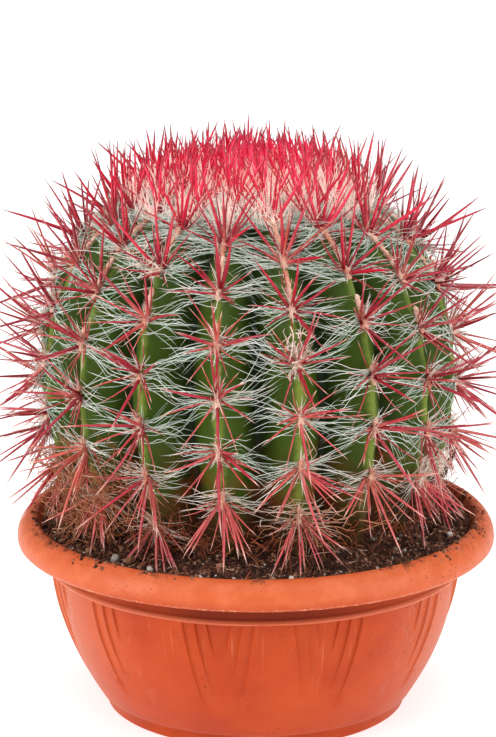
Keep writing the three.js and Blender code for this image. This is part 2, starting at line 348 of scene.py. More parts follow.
class Strands:  # collects the traits of every strand of one piece
    def __init__(self):
        self.rows = []

    def put(self, root, aim, length, thickness, bend=(0, 0, 0), wave=(0, 0, 0), phase=0, tint=0, age=0):
        aim = aim / np.linalg.norm(aim)
        self.rows.append((root, aim, (thickness, thickness, length), bend, wave, phase, tint, age))

    def build(self, name, slotName, material, sizes):
        labels = ("aim", "size", "bend", "wave", "phase", "tint", "age")
        places, *columns = (np.array(column, float) for column in zip(*self.rows))
        points = pointsOf(name, places, dict(zip(labels, columns)))
        return rideAs(grow(points, strandTree(name, material), sizes), slotName)


class Draws(np.random.Generator):  # random numbers, with spans and spreads by their names in a dictionary
    def __init__(self, sizes):
        super().__init__(np.random.PCG64(sizes["seed"]))
        self.sizes = sizes

    def span(self, name, *count):
        return self.uniform(*self.sizes[name], *count)

    def spread(self, name, *count):
        return self.normal(0, self.sizes[name], *count)

    def curve(self):  # the bend, wave and phase of one strand
        return self.spread("bow", 3), self.spread("wave", 3), self.random()

    def aims(self, count):
        aim = self.normal(size=(count, 3))
        return aim / np.linalg.norm(aim, axis=1)[:, None]

    def grains(self, count):  # sizes, with more small ones than large ones
        smallest, largest, power = self.sizes["sizes"]
        return smallest + (largest - smallest) * self.random(count) ** power


# Pot

pot = dict(
    # radius and height of rings up the outside, over the rim and down to the lip
    foot=[
        (0.0700, 0.0040), (0.0710, 0.0040), (0.0710, 0.0006), (0.0718, 0.0000), (0.0780, 0.0000),
        (0.0788, 0.0006), (0.0790, 0.0012), (0.0790, 0.0058), (0.0794, 0.0066), (0.0813, 0.0070),
    ],
    collar=[
        (0.1083, 0.0754), (0.1091, 0.0766), (0.1087, 0.0776), (0.1077, 0.0786), (0.1078, 0.0835),
        (0.1088, 0.0875), (0.1122, 0.0925), (0.1160, 0.0966), (0.1192, 0.0966), (0.1212, 0.0935),
        (0.1220, 0.0885),
    ],
    rim=[
        (0.1225, 0.0880), (0.1236, 0.0880), (0.1246, 0.0890), (0.1250, 0.0912), (0.1243, 0.0952),
        (0.1222, 0.0989), (0.1192, 0.1014), (0.1166, 0.1022), (0.1150, 0.1018), (0.1141, 0.1004),
    ],
    lip=(0.1134, 0.0990), collarStep=0.0014, rimStep=0.0011, wallStep=0.006, wall=0.0034, bead=0.0766,
    bodyTop=0.1077, bodyFoot=0.0823, bodyCurve=1.75, footHeight=0.007, underside=0.004, floor=0.008,
    bodyRings=[(0.0078, 0.0200, 7), (0.0215, 0.0752, 44)],  # from and to a height, and how many
    swagGroups=12, firstSwag=-40.3, swagStep=0.0013, swagEdge=0.17, swagFade=2.5, swagNarrowest=0.04,
    # half the angle at the bead, and how far below it the arch ends and its step fades out
    swagArches=[(9.76, 0.077, 0.056), (6.58, 0.047, 0.042), (3.4, 0.0233, 0.021)],
    innerTop=[(0.1126, 0.0975), (0.1045, 0.0872), (0.1043, 0.0770)],  # the inner wall below the lip
    innerHeights=(0.058, 0.038, 0.020), cornerDraw=0.0006, cornerBevel=(0.0004, 0.0025), floorEdge=0.074,
    panelColumns=3, drainHoles=5, drainRadius=0.004, drainCircle=0.046, drainSides=24, sharpFrom=45,
)


def potBodyRadius(z):
    down = np.maximum(pot["bead"] - z, 0) / (pot["bead"] - pot["footHeight"])
    return pot["bodyTop"] - (pot["bodyTop"] - pot["bodyFoot"]) * down ** pot["bodyCurve"]


def innerRadius(z):
    return float(potBodyRadius(z)) - pot["wall"]


# The inner wall from below the lip down to the floor, as radius and height. The soil follows it.
innerWall = pot["innerTop"] + [(innerRadius(z), z) for z in pot["innerHeights"]]
innerWall += [(innerRadius(pot["floor"]) - pot["cornerDraw"], pot["floor"])]


def panel(start, end, depth):  # evenly spaced columns of one depth
    return [(angle, depth) for angle in np.linspace(start, end, pot["panelColumns"] + 1)[1:]]


def swagColumns(z, relief):  # azimuth offsets and depths of one group's columns at a height
    drop = max(pot["bead"] - z, 0)
    half = [(180 / pot["swagGroups"], 0.0)]
    depth = 0.0
    edge = pot["swagEdge"]
    for halfAngle, reach, fade in pot["swagArches"]:
        angle = halfAngle * math.sqrt(max(1 - drop / reach, pot["swagNarrowest"]))
        step = pot["swagStep"] * (1 - min(drop / fade, 1) ** pot["swagFade"]) * relief
        half += panel(half[-1][0], angle + edge, depth)
        half += [(angle, depth + step / 2), (angle - edge, depth + step)]
        depth += step
    half += panel(half[-1][0], 0.0, depth)
    return [(-angle, depth) for angle, depth in half] + half[-2:0:-1]


def potRing(radius, z, relief=0.0):
    angles, depths = np.transpose(swagColumns(z if relief else pot["bead"], relief))
    groups = pot["swagGroups"]
    centres = pot["firstSwag"] + 360 * np.arange(groups) / groups
    return aroundZ((centres[:, None] + angles).ravel(), radius - np.tile(depths, groups), z)


def addTube(body, rings):  # quads between closed rings of points; returns the edges of both end rings
    rows = [[body.verts.new(point) for point in ring] for ring in rings]
    for low, high in zip(rows, rows[1:]):
        for k in range(len(low)):
            after = (k + 1) % len(low)
            body.faces.new((low[k], low[after], high[after], high[k]))
    return [[body.edges.get(pair) for pair in zip(row, row[1:] + row[:1])] for row in (rows[0], rows[-1])]


def makePot(material):
    rings = [potRing(*spot) for spot in pot["foot"]]
    for low, high, count in pot["bodyRings"]:
        rings += [potRing(potBodyRadius(z), z, 1.0) for z in np.linspace(low, high, count)]
    collar = smoothLine(pot["collar"], pot["collarStep"])
    rim = smoothLine(pot["rim"], pot["rimStep"])
    inside = smoothLine([pot["lip"], *innerWall[:-1]], pot["wallStep"])
    floorRadius, floor = innerWall[-1]
    out, up = pot["cornerBevel"]
    corner = [(floorRadius + out, floor + up), (floorRadius, floor), (pot["floorEdge"], floor)]
    rings += [potRing(*spot) for spot in (*collar, *rim, *inside, *corner)]
    shell = bmesh.new()
    ends = addTube(shell, rings)
    turns = np.arange(pot["drainSides"]) * 360 / pot["drainSides"]
    for k in range(pot["drainHoles"]):
        middle = aroundZ(360 * k / pot["drainHoles"], pot["drainCircle"], 0.0)
        hole = [aroundZ(turns, pot["drainRadius"], z) + middle for z in (pot["underside"], floor)]
        for end, edges in zip(ends, addTube(shell, hole)):
            end += edges
    for end in ends:
        bmesh.ops.triangle_fill(shell, use_beauty=True, edges=end)
    bmesh.ops.recalc_face_normals(shell, faces=shell.faces)
    thing = meshOf("potShell", [], [], material)
    shell.to_mesh(thing.data)
    shell.free()
    thing.data.shade_smooth()
    thing.data.set_sharp_from_angle(angle=math.radians(pot["sharpFrom"]))
    return rideAs(thing, "pot_plastic", "pot")


def potMaterial():
    plastic = dict(
        rim=rgb(193, 88, 47), worn=rgb(205, 104, 65), edgeHighlight=rgb(250, 190, 150), warm=rgb(185, 69, 14),
        deep=rgb(169, 54, 8), shade=rgb(112, 34, 8), sideSheen=rgb(214, 122, 84), dustAndHighlight=rgb(236, 150, 112),
        dirt=rgb(74, 40, 26),
        # widths, heights and radii over which a look comes or goes
        sides=(0.055, 0.115), middle=(0.015, 0.085), right=(0.05, 0.09), rimFoot=(0.086, 0.094),
        recessFoot=(0.0768, 0.0784), recessTop=(0.088, 0.0965), recessOut=(0.1165, 0.1200),
        scuffFoot=(0.02, 0.06), scuffTop=(0.070, 0.078), beadOut=(0.1079, 0.1089), beadTop=(0.0775, 0.0790),
        edgeOut=(0.1215, 0.1228), edgeTop=(0.0882, 0.0900), lip=(0.1160, 0.1235),
    )
    material, nodes = makeMaterial("terracottaPlastic")
    place = nodes.place()
    x, _, height = nodes.parts(place)
    across = nodes.vector("MULTIPLY", place, (1.0, 1.0, 0.0))
    radius = nodes.vector("LENGTH", across, out="Value")
    cloudy = nodes.grain(28.0, 4.0)
    colour = nodes.blend(cloudy.rise(0.3, 0.75), plastic["deep"], plastic["warm"])
    # painted sheen: the body is painted paler towards its left and right sides, where the side lamps' sheen
    # falls
    colour = nodes.blend(abs(x).rise(*plastic["sides"]) * 0.55, colour, plastic["sideSheen"])
    # painted highlight: the rim is painted lighter than the body, for light falling on it from above; worn
    # patches break it up
    onRim = height.rise(*plastic["rimFoot"])
    worn = nodes.grain(90.0, 5.0, 0.65).rise(0.35, 0.7)
    colour = nodes.blend(onRim * 0.9, colour, nodes.blend(worn, plastic["rim"], plastic["worn"]))
    # painted shade: the recess under the rim is darkened towards the shade colour, most at the front
    # middle, and made rougher
    recess = height.rise(*plastic["recessFoot"]) * height.fall(*plastic["recessTop"])
    recess = recess * radius.fall(*plastic["recessOut"])
    middle = abs(x).fall(*plastic["middle"])
    colour = nodes.blend(recess * (0.25 + 0.65 * middle), colour, plastic["shade"])
    turned = nodes.scale(nodes.vector("NORMALIZE", across), 0.1)
    streaks = nodes.vector("ADD", turned, nodes.join(0.0, 0.0, height * 0.04))
    scuff = nodes.grain(480.0, 2.0, at=streaks).rise(0.60, 0.74) * cloudy.rise(0.40, 0.6)
    scuff = scuff * height.fall(*plastic["scuffTop"]) * height.rise(*plastic["scuffFoot"])
    colour = nodes.blend(scuff * 0.4, colour, plastic["dustAndHighlight"])
    # painted highlight: a thin pale line along the top of the bead
    bead = radius.rise(*plastic["beadOut"])
    bead = bead * height.fall(*plastic["beadTop"])
    colour = nodes.blend(bead * 0.25, colour, plastic["dustAndHighlight"])
    # chips here are painted highlight: uneven pale marks along the rim's lower edge
    lowEdge = radius.rise(*plastic["edgeOut"]) * height.fall(*plastic["edgeTop"])
    chips = lowEdge * nodes.grain(480.0, 4.0, 0.7).rise(0.48, 0.64)
    colour = nodes.blend(chips * 0.45, colour, plastic["edgeHighlight"])
    specks = nodes.grain(650.0, 1.0).rise(0.685, 0.71)
    patches = (nodes.grain(45.0, 2.0) + 0.14 * x.rise(*plastic["right"])).rise(0.5, 0.62)
    nearLip = radius.fall(*plastic["lip"])
    smear = nodes.grain(170.0, 5.0, 0.7).rise(0.5, 0.6) * nearLip * onRim * patches
    dirt = nodes.math("MINIMUM", specks * (0.06 + 0.6 * patches) + smear * 0.9, 1.0)
    colour = nodes.blend(dirt, colour, plastic["dirt"])
    roughness = 0.36 + 0.14 * cloudy + 0.3 * dirt + 0.3 * recess
    nodes.paint(Base_Color=colour, Roughness=roughness, Specular_IOR_Level=0.2)
    nodes.emboss(nodes.grain(2200.0, 2.0) * 0.3 + dirt, 0.0003, 0.5)
    return material


# Soil

soil = dict(
    edgeRadius=0.11236, edgeHeight=0.0972, edgeLift=0.0008, evenEdge=0.006, edgeLump=0.2, lumpRise=0.15,
    moundTop=0.1125, moundSlope=0.47, moundReach=0.100, gap=0.00035, lump=0.0027,
    lumpNoise=[(75, 1.0, 0), (190, 0.7, 3), (420, 0.5, 0)],  # pitch, weight, shift
    columns=420, rings=64, innerRadius=0.070,
)
stemCentreX = -0.004
neckRadius = 0.076


def moundHeight(radius):  # the heap's height at a distance from the stem's axis
    return soil["moundTop"] - soil["moundSlope"] * (np.maximum(radius, neckRadius) - neckRadius)


def soilTop(x, y):  # height of the bare soil surface
    far, out = min(math.hypot(x, y), soil["edgeRadius"]), math.hypot(x - stemCentreX, y)
    height = moundHeight(out)
    if out > soil["moundReach"]:
        share = (out - soil["moundReach"]) / (out - soil["moundReach"] + soil["edgeRadius"] - far)
        height = moundHeight(soil["moundReach"]) * (1 - share)
        height += (soil["edgeHeight"] + soil["edgeLift"]) * share
    spot = Vector((x, y, 0.0))
    lump = 0.0
    for pitch, weight, shift in soil["lumpNoise"]:
        lump += weight * noise.noise(spot * pitch + Vector((0, 0, shift)))
    even = clamp((soil["edgeRadius"] - far) / soil["evenEdge"])
    share = soil["edgeLump"] + (1 - soil["edgeLump"]) * even
    return height + soil["lump"] * share * (lump + soil["lumpRise"])


def makeSoilBed(material):
    columns = soil["columns"]
    angles = np.arange(columns) * 360 / columns
    wall = [(radius - soil["gap"], z) for radius, z in innerWall[1:]][::-1]
    wall[0] = (wall[0][0], wall[0][1] + soil["gap"])
    wall.append((soil["edgeRadius"] - soil["gap"], soil["edgeHeight"]))
    rings = [aroundZ(angles, radius, z) for radius, z in wall]
    inner = aroundZ(angles, soil["innerRadius"], soil["moundTop"], stemCentreX)
    outer = aroundZ(angles, soil["edgeRadius"] - soil["gap"], soil["edgeHeight"])
    for k in range(soil["rings"] + 1):
        ring = outer + (inner - outer) * (k / soil["rings"])
        ring[:, 2] = [soilTop(x, y) for x, y, _ in ring]
        rings.append(ring)
    points = np.vstack([*rings, [(0, 0, wall[0][1])], [(stemCentreX, 0, soil["moundTop"])]])
    lowest, highest = len(points) - 2, len(points) - 1
    top = (len(rings) - 1) * columns
    afters = [(k + 1) % columns for k in range(columns)]
    faces = []
    for low in range(0, top, columns):
        high = low + columns
        faces += [(low + k, low + after, high + after, high + k) for k, after in enumerate(afters)]
    for k, after in enumerate(afters):
        faces += [(after, k, lowest), (top + k, top + after, highest)]
    return rideAs(meshOf("soilBed", points, faces, material), "soil", "soil")


def scatterOnSoil(random, count, low, high):
    radius = np.sqrt(random.uniform(low**2, high**2, count))
    spots = aroundZ(random.uniform(0, 360, count), radius, 0.0)
    spots[:, 0] += stemCentreX * (high - radius) / (high - low)
    spots[:, 2] = [soilTop(x, y) for x, y, _ in spots]
    return spots


crumbs = dict(
    count=6600, zone=(0.078, 0.112), stretch=(0.5, 1.25), largeEvery=60, largeGrowth=1.9, lift=(-0.2, 0.6),
    sizes=(0.0003, 0.0014, 2.4),  # smallest, largest, and how far the small ones prevail
    chips=700, chipSizes=((0.0003, 0.0008, 0.0012), (0.0006, 0.0016, 0.0034)), chipTilt=0.3, chipTone=0.6,
    lump=dict(Subdivisions=1, Roughness=1.1, Pitch=900.0), seed=3,
)


def makeCrumbs(material):
    random = Draws(crumbs)
    count, chips = crumbs["count"], crumbs["chips"]
    places = scatterOnSoil(random, count + chips, *crumbs["zone"])
    size = random.grains(count + chips)
    size[:: crumbs["largeEvery"]] *= crumbs["largeGrowth"]
    shape = size[:, None] * random.span("stretch", (count + chips, 3))
    shape[count:] = random.span("chipSizes", (chips, 3))
    aim = random.aims(count + chips)
    aim[count:, 2] *= crumbs["chipTilt"]
    places[:count, 2] += size[:count] * random.span("lift", count)
    tone = random.random(count + chips) ** 1.6
    tone[count:] *= crumbs["chipTone"]
    traits = {"aim": aim, "size": shape, "tone": tone}
    lumps("soilCrumbs", "soil", material, places, traits, crumbs["lump"], flat=True)


spilt = dict(
    drifts=[(-62, 22, 165), (66, 26, 82)],  # azimuth, spread, count
    anywhere=83, lip=0.1146, lipWidth=0.0052, heaps=(-46.5, -40.0, 52.0, 74.0), heapSpread=1.7,
    heapCount=26, heapZone=(0.1150, 0.1225), sizes=(0.0002, 0.0011, 2.5), stretch=(0.6, 1.3), lift=0.3,
    lump=dict(Subdivisions=1, Roughness=0.6), seed=8,
)


def makeSpilt(material):  # crumbs lying on the lip
    random = Draws(spilt)
    azimuth = np.concatenate([random.normal(*drift) for drift in spilt["drifts"]])
    azimuth = np.append(azimuth, random.uniform(-180, 180, spilt["anywhere"]))
    radius = spilt["lip"] + spilt["lipWidth"] * random.random(len(azimuth)) ** 1.6
    for centre in spilt["heaps"]:
        azimuth = np.append(azimuth, random.normal(centre, spilt["heapSpread"], spilt["heapCount"]))
        radius = np.append(radius, random.span("heapZone", spilt["heapCount"]))
    count = len(azimuth)
    size = random.grains(count)
    rimTop = np.transpose(pot["rim"][:4:-1])  # from the lip outwards
    places = aroundZ(azimuth, radius, np.interp(radius, *rimTop) + size * spilt["lift"])
    shape = size[:, None] * random.span("stretch", (count, 3))
    traits = {"size": shape, "tone": random.random(count) * 0.8, "aim": random.aims(count)}
    lumps("spiltSoil", "soil", material, places, traits, spilt["lump"])


grit = dict(
    count=560, zone=(0.088, 0.1115), sizes=(0.00025, 0.0010, 2.2), stretch=(0.7, 1.15), lift=(0.1, 0.7),
    # azimuth, distance from the middle, size and tone of the larger stones
    stones=[
        (-41, 0.1068, 0.0026, 0.62), (-36, 0.1070, 0.0024, 0.10), (-29, 0.1084, 0.0021, 0.70),
        (-14.4, 0.1094, 0.0013, 0.85), (9, 0.1090, 0.0014, 0.8), (34, 0.1075, 0.0013, 0.7),
        (68, 0.1065, 0.0017, 0.75), (44, 0.1000, 0.0013, 0.4),
    ],
    stoneLift=0.5, lump=dict(Subdivisions=2, Roughness=0.8, Pitch=600.0), seed=4,
)


def makeGrit(material):
    random = Draws(grit)
    count = grit["count"]
    places = scatterOnSoil(random, count, *grit["zone"])
    size = random.grains(count)
    places[:, 2] += size * random.span("lift", count)
    tone = random.random(count)
    for azimuth, radius, span, shade in grit["stones"]:
        x, y, _ = aroundZ(azimuth, radius, 0.0)
        places = np.vstack([places, (x, y, soilTop(x, y) + grit["stoneLift"] * span)])
        size = np.append(size, span)
        tone = np.append(tone, shade)
    shape = size[:, None] * random.span("stretch", (len(size), 3))
    traits = {"size": shape, "tone": tone, "aim": random.aims(len(size))}
    lumps("perliteGrit", "soil", material, places, traits, grit["lump"])


def soilMaterial():
    material, nodes = makeMaterial("pottingSoil")
    coarse = nodes.grain(260.0, 6.0, 0.7)
    fine = nodes.grain(1100.0, 4.0, 0.7)
    mixed = coarse * 0.4 + fine * 0.5 + nodes.trait("tone") * 0.22
    dark, brown, light = rgb(26, 11, 7), rgb(108, 64, 46), rgb(200, 150, 120)
    colour = nodes.ramp(mixed, (0.41, dark), (0.54, brown), (0.70, light))
    nodes.paint(Base_Color=colour, Roughness=0.9, Specular_IOR_Level=0.3)
    nodes.emboss(coarse * 0.5 + fine * 0.5, 0.0018)
    return material


def gritMaterial():
    material, nodes = makeMaterial("perlite")
    tan, grey, white = rgb(120, 82, 60), rgb(142, 140, 130), rgb(214, 208, 196)
    colour = nodes.ramp(nodes.trait("tone"), (0.25, tan), (0.5, grey), (0.8, white))
    pits = nodes.grain(1300.0, 4.0, 0.65)
    colour = nodes.blend(pits.rise(0.45, 0.7) * 0.5, colour, rgb(90, 66, 52))
    nodes.paint(Base_Color=colour, Roughness=0.85, Specular_IOR_Level=0.3)
    nodes.emboss(pits, 0.0006)
    return material


# Stem

stem = dict(
    radius=0.1076, widest=0.1746, top=0.2765, base=0.1058, baseRadius=0.0919, domePower=2.38,
    taperPower=1.5, neckBottom=0.052, crownRadius=0.004, crownRise=0.066, footGroove=0.42,
    footZone=(-0.016, 0.028), unevenPitch=38.0, lowSteps=60, domeSteps=160,
)
ribs = {
    "Ribs": 17, "Columns": 14, "Rows": 150, "First Rib": -8.0, "Twist": 3.0,
    "Groove": 0.021, "Sharpness": 1.32, "Swell": 0.0014, "Unevenness": 0.0016,
}
areole = dict(
    spacing=0.0262, firstPhase=0.82, phaseStep=6 / 17, lowest=0.015, highest=0.001, topGap=0.11,
    crownArc=0.05, crownAge=0.16, youngest=0.02, ageMargin=0.03,
)


def crestLine():  # a rib's crest from the side, from the base up to the top
    down = np.linspace(1, 0, stem["lowSteps"])[:-1]
    lowRadius = stem["radius"] - (stem["radius"] - stem["baseRadius"]) * down ** stem["taperPower"]
    lowHeight = stem["widest"] - down * (stem["widest"] - stem["base"])
    turn = np.linspace(0, math.pi / 2, stem["domeSteps"])
    power = 2 / stem["domePower"]
    upRadius = stem["radius"] * np.maximum(np.cos(turn), 0) ** power
    upHeight = stem["widest"] + (stem["top"] - stem["widest"]) * np.sin(turn) ** power
    radius = np.concatenate([lowRadius, upRadius])
    radius[-1] = 0.0
    return radius, np.concatenate([lowHeight, upHeight])


crestRadius, crestHeight = crestLine()
crestSteps = np.hypot(np.diff(crestRadius), np.diff(crestHeight))
crestArc = np.concatenate([[0], np.cumsum(crestSteps)])
crestLength = float(crestArc[-1])


def crestAt(arc, near=0.0015):  # radius, height and the outward direction in the rib's own plane
    arcs = np.clip((arc - near, arc, arc + near), 0, crestLength)
    radii, heights = (np.interp(arcs, crestArc, line) for line in (crestRadius, crestHeight))
    run, rise = radii[2] - radii[0], heights[2] - heights[0]
    length = math.hypot(run, rise)
    return radii[1], heights[1], rise / length, -run / length


def twistAt(z, twist=ribs["Twist"]):  # for a height or a wire
    return twist * (0.5 - (z - stem["base"]) / (stem["top"] - stem["base"]))


def stemTree(material):
    phases = {"First Phase": areole["firstPhase"], "Phase Step": areole["phaseStep"]}
    nodes, start, size = newTree("ribbedStem", {**ribs, "Spacing": areole["spacing"], **phases})
    counts = {"Vertices X": size["Ribs"] * size["Columns"] + 1, "Vertices Y": size["Rows"]}
    grid = nodes.add("GeometryNodeMeshGrid", {"Size X": 1.0, "Size Y": 1.0, **counts})
    gridX, gridY, _ = nodes.parts(nodes.add("GeometryNodeInputPosition"))
    across, upwards = gridX + 0.5, gridY + 0.5
    line = nodes.add("GeometryNodeMeshToCurve", {0: start})
    whole = nodes.add("GeometryNodeCurveLength", {0: line})
    ends = {"Curves": line, "Factor": upwards}
    sample = nodes.add("GeometryNodeSampleCurve", ends, "Position", mode="FACTOR")
    radius, _, height = nodes.parts(sample)
    run, _, outward = nodes.parts(sample.other("Tangent"))
    upward = run * -1.0

    ribPlace = across * size["Ribs"]
    ribNumber = nodes.math("FLOOR", ribPlace)
    share = abs(nodes.math("FRACT", ribPlace) - 0.5) * 2.0
    phase = nodes.math("FRACT", size["First Phase"] + ribNumber * size["Phase Step"])
    count = (whole * (1.0 - upwards)) / size["Spacing"] - areole["topGap"] - phase
    swell = nodes.math("COSINE", count * (2 * math.pi)) * 0.5 + 0.5
    atTop = radius.rise(stem["crownRadius"], stem["crownRadius"] + stem["crownRise"])
    atBase = height.rise(*(stem["base"] + z for z in stem["footZone"]))
    depth = size["Groove"] * (stem["footGroove"] + (1 - stem["footGroove"]) * atBase) * atTop
    inward = depth * share ** size["Sharpness"] - swell * size["Swell"] * atTop * (1.0 - share) ** 2.0
    wallRadius = radius - inward * outward
    ground = soil["moundTop"] + soil["moundSlope"] * neckRadius - wallRadius * soil["moundSlope"]
    wallHeight = nodes.math("MAXIMUM", height - inward * upward, ground)
    turned = twistAt(height, size["Twist"])
    azimuth = nodes.math("RADIANS", size["First Rib"] + (ribPlace - 0.5) * (360.0 / size["Ribs"]) + turned)
    x = wallRadius * nodes.math("SINE", azimuth) + stemCentreX
    y = wallRadius * nodes.math("COSINE", azimuth) * -1.0
    placed = moveTo(nodes, store(nodes, grid, "crest", 1.0 - share), nodes.join(x, y, wallHeight))
    merged = nodes.add("GeometryNodeMergeByDistance", {"Geometry": placed, "Distance": 0.00002})
    spot = nodes.add("GeometryNodeInputPosition")
    uneven = nodes.grain(stem["unevenPitch"], 2.0, 0.5, spot) - 0.5
    facing = nodes.add("GeometryNodeInputNormal")
    shift = nodes.scale(facing, uneven * size["Unevenness"] * 2.0)
    return endTree(nodes, moveBy(nodes, merged, shift), material)


def makeStem(material):
    mesh = bpy.data.meshes.new("stem")
    points = [(radius, 0.0, height) for radius, height in zip(crestRadius, crestHeight)]
    mesh.from_pydata(points, [(k, k + 1) for k in range(len(points) - 1)], [])
    thing = grow(addObject("stem", mesh), stemTree(material), ribs)
    body = bmesh.new()
    body.from_mesh(thing.data)
    for z in (soil["moundTop"], stem["neckBottom"]):
        rim = [edge for edge in body.edges if edge.is_boundary]
        made = bmesh.ops.extrude_edge_only(body, edges=rim)["geom"]
        for vertex in (v for v in made if isinstance(v, bmesh.types.BMVert)):
            angle = math.atan2(vertex.co.y, vertex.co.x - stemCentreX)
            vertex.co = (stemCentreX + neckRadius * math.cos(angle), neckRadius * math.sin(angle), z)
    bmesh.ops.holes_fill(body, edges=[edge for edge in body.edges if edge.is_boundary])
    bmesh.ops.recalc_face_normals(body, faces=body.faces)
    body.to_mesh(thing.data)
    body.free()
    return rideAs(thing, "stem_skin", "cactus")


def stemMaterial():
    skin = dict(
        groove=rgb(17, 32, 9), flank=rgb(58, 80, 14), crest=rgb(116, 134, 50), young=rgb(84, 112, 62),
        cork=rgb(172, 84, 38), corkDark=rgb(72, 36, 20), foot=rgb(58, 36, 20),
        youngHeights=(0.215, 0.27), corkHeights=(0.126, 0.168), footHeights=(0.116, 0.146), ragged=0.04,
    )
    material, nodes = makeMaterial("waxySkin")
    _, _, height = nodes.parts(nodes.place())
    crest = nodes.trait("crest")
    mottle = nodes.grain(60.0, 5.0, 0.6)
    fine = nodes.grain(700.0, 3.0)
    tone = crest + (mottle - 0.5) * 0.45 + (fine - 0.5) * 0.12
    # painted shade: the grooves are painted near black; the crests are painted a lighter yellow-green,
    # their own paler green with a painted highlight
    stops = [(0.02, skin["groove"]), (0.5, skin["flank"]), (0.84, skin["flank"]), (1.0, skin["crest"])]
    colour = nodes.ramp(tone, *stops)
    colour = nodes.blend(height.rise(*skin["youngHeights"]) * 0.5, colour, skin["young"])
    ragged = height + (mottle - 0.5) * skin["ragged"]
    deep = crest.fall(0.15, 0.8)
    cork = ragged.fall(*skin["corkHeights"]) * (0.35 + 0.65 * deep)
    cork = cork * nodes.grain(85.0, 4.0).rise(0.38, 0.6)
    colour = nodes.blend(cork, colour, nodes.blend(fine, skin["corkDark"], skin["cork"]))
    # the lowest part of the stem is painted dark brown: corky skin, with painted shade near the soil
    colour = nodes.blend(ragged.fall(*skin["footHeights"]) * 0.9, colour, skin["foot"])
    nodes.paint(Base_Color=colour, Roughness=0.42 + 0.2 * mottle + 0.3 * cork, Specular_IOR_Level=0.16)
    nodes.emboss(mottle * 0.4 + fine * 0.25 + cork * 0.5, 0.0012, 0.6)
    return material


# Areoles

def areoleAt(rib, down):  # the frame of a spot on a crest, a distance down from the top
    radius, height, outward, upward = crestAt(crestLength - down)
    azimuth = ribs["First Rib"] + 360 * rib / ribs["Ribs"] + twistAt(height)
    lift = ribs["Swell"] * clamp((radius - stem["crownRadius"]) / stem["crownRise"])
    age = clamp((down - areole["youngest"]) / (crestLength - areole["ageMargin"]))
    out = aroundZ(azimuth, outward, upward)
    return SimpleNamespace(
        rib=rib, down=down, age=age, crown=1 - ease(age, 0, areole["crownAge"]),
        place=aroundZ(azimuth, radius, height, stemCentreX) + out * lift,
        out=out, up=aroundZ(azimuth, -upward, outward), side=aroundZ(azimuth + 90, 1.0, 0.0),
        warm=(5 * rib + int(down / areole["spacing"])) % 13 == 4,  # about one cluster in thirteen
    )


def upCrest(spot, distance):  # the frame a little further up the same rib
    return areoleAt(spot.rib, max(spot.down - distance, areole["highest"]))


areoles = []
for rib in range(ribs["Ribs"]):
    phase = (areole["firstPhase"] + rib * areole["phaseStep"]) % 1
    down = areole["spacing"] * (phase + areole["topGap"])
    while down < crestLength - areole["lowest"]:
        areoles.append(areoleAt(rib, down))
        if down < areole["crownArc"]:
            areoles.append(areoleAt(rib, down + areole["spacing"] / 2))
        down += areole["spacing"]
print("areoles:", len(areoles))


def aimFrom(spot, lean, turn):
    lean, turn = math.radians(lean), math.radians(turn)
    flat = spot.up * math.cos(turn) + spot.side * math.sin(turn)
    return spot.out * math.cos(lean) + flat * math.sin(lean)


# Spines

spines = dict(
    # turn from upwards, lean from straight out, length, root radius
    stout=[
        (4, 34, 0.040, 0.00100), (62, 40, 0.038, 0.00096), (-62, 40, 0.038, 0.00096),
        (178, 36, 0.041, 0.00108),
    ],
    slender=[
        (32, 46, 0.030, 0.00056), (-32, 46, 0.030, 0.00056), (98, 50, 0.030, 0.00066),
        (-98, 50, 0.030, 0.00066), (142, 50, 0.028, 0.00054), (-142, 50, 0.028, 0.00054),
        (20, 16, 0.034, 0.00076), (12, 62, 0.020, 0.00044), (-16, 66, 0.019, 0.00042),
        (72, 64, 0.019, 0.00044), (-76, 64, 0.019, 0.00044), (172, 64, 0.020, 0.00044),
    ],
    rootDepth=0.003, spread=9, clusterTurn=7, lengths=(0.82, 1.12), thicknesses=(0.85, 1.12),
    youngAge=(0.05, 0.5), oldAge=(0.62, 1.0), youngStout=0.18, lift=0.6, droop=0.75, fanUp=0.5,
    fanDown=0.32, bow=0.0022, slenderBow=1.2, reach=0.142, highest=0.3025, highSpread=(-0.003, 0.010),
    domeFall=1.6, domeRadius=0.06, shortest=0.018, flattest=0.3, soilClear=0.0008, rimClear=0.112,
    innerReach=0.1085, crowdedArc=0.055, crownLoss=0.72, slenderKept=0.62, slenderAge=(0.08, 0.2),
    slenderAges=(0.1, 0.5), warmth=0.4, warmAge=0.3,
    tintShares=(0.45, 0.55),  # of its cluster and of its own
    strand=dict(Sides=5, Segments=6, Taper=0.5), seed=7,
)


def keepClear(root, aim, length):  # moves a tip that would enter the soil or the rim
    tip = root + aim * length
    if tip[2] < spines["rimClear"]:
        tip[:2] *= min(1, spines["innerReach"] / math.hypot(tip[0], tip[1]))
        tip[2] = max(tip[2], soilTop(tip[0], tip[1]) + spines["soilClear"])
    return tip - root


def spineTurn(turn, young, old):  # young ones fan upwards, old ones downwards
    way = 1 if turn > 0 else -1
    turn = abs(turn) * (1 - spines["fanUp"] * young)
    return way * (turn + (180 - turn) * spines["fanDown"] * old)


def trimmed(root, aim, length, slack):  # the length at which a spine stays within the plant's outline
    far = math.hypot(*(root + aim * length)[:2])
    length -= max(far - spines["reach"], 0) / max(math.hypot(aim[0], aim[1]), spines["flattest"])
    ceiling = spines["highest"] - spines["domeFall"] * min(far, spines["domeRadius"]) ** 2
    tooHigh = root[2] + aim[2] * length - ceiling + slack
    return max(length - tooHigh / aim[2], spines["shortest"]) if tooHigh > 0 else length


